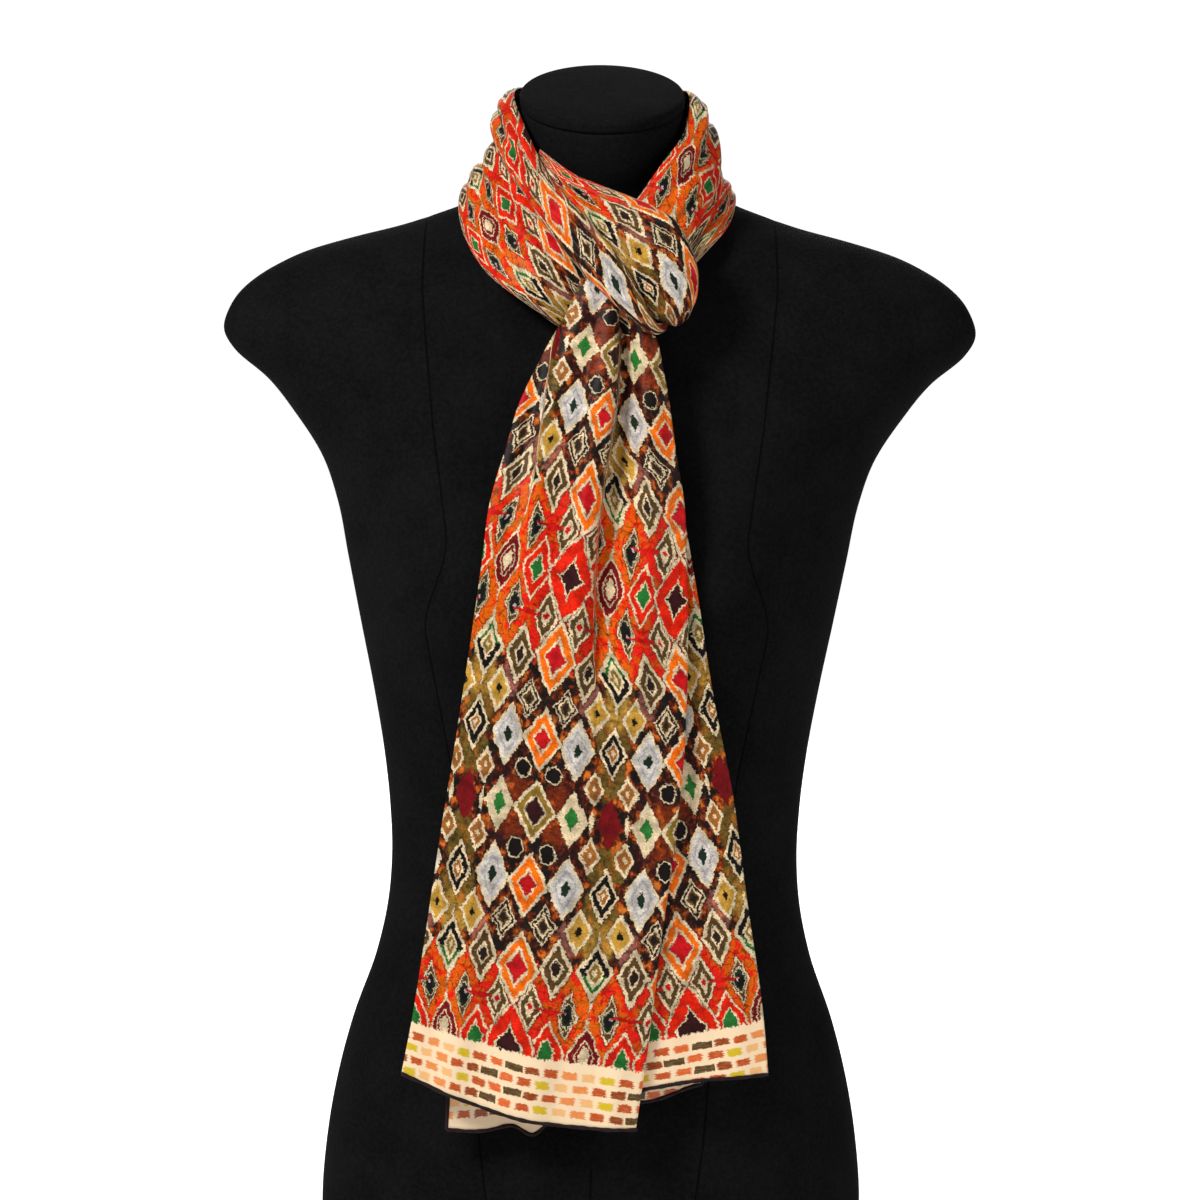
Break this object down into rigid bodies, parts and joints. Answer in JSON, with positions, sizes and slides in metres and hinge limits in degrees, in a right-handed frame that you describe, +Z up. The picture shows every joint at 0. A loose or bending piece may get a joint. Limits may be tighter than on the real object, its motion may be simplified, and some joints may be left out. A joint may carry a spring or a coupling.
{
  "type": "ikat scarf on a dress form",
  "caption": "Printed silk ikat scarf crossed in a soft loop round the neck of a limbless black dress form, its ends hanging in front.",
  "frame": {"origin": "the middle of the flat base of the dress form, below its shoulder line", "axes": "+Z up, along the standing form; the front of the form, where the scarf's ends hang, looks towards -Y, and +X is on the right in the picture"},
  "size_m": [0.449, 0.2445, 0.7346],
  "materials": {
    "black_jersey": "matte",
    "black_cap": "matte",
    "printed_silk": "satin",
    "printed_silk_light": "satin"
  },
  "bodies": {
    "root": {"form_torso": "black_jersey", "form_neck_cap": "black_cap", "scarf_loop_over": "printed_silk_light", "scarf_loop_right": "printed_silk", "scarf_wrap_left": "printed_silk", "scarf_wrap_right_top": "printed_silk", "scarf_wrap_right_low": "printed_silk", "scarf_wrap_back_top": "printed_silk", "scarf_wrap_back_low": "printed_silk_light", "scarf_tail_front": "printed_silk", "scarf_tail_right": "printed_silk_light", "scarf_tail_back": "printed_silk"}
  },
  "joints": []
}
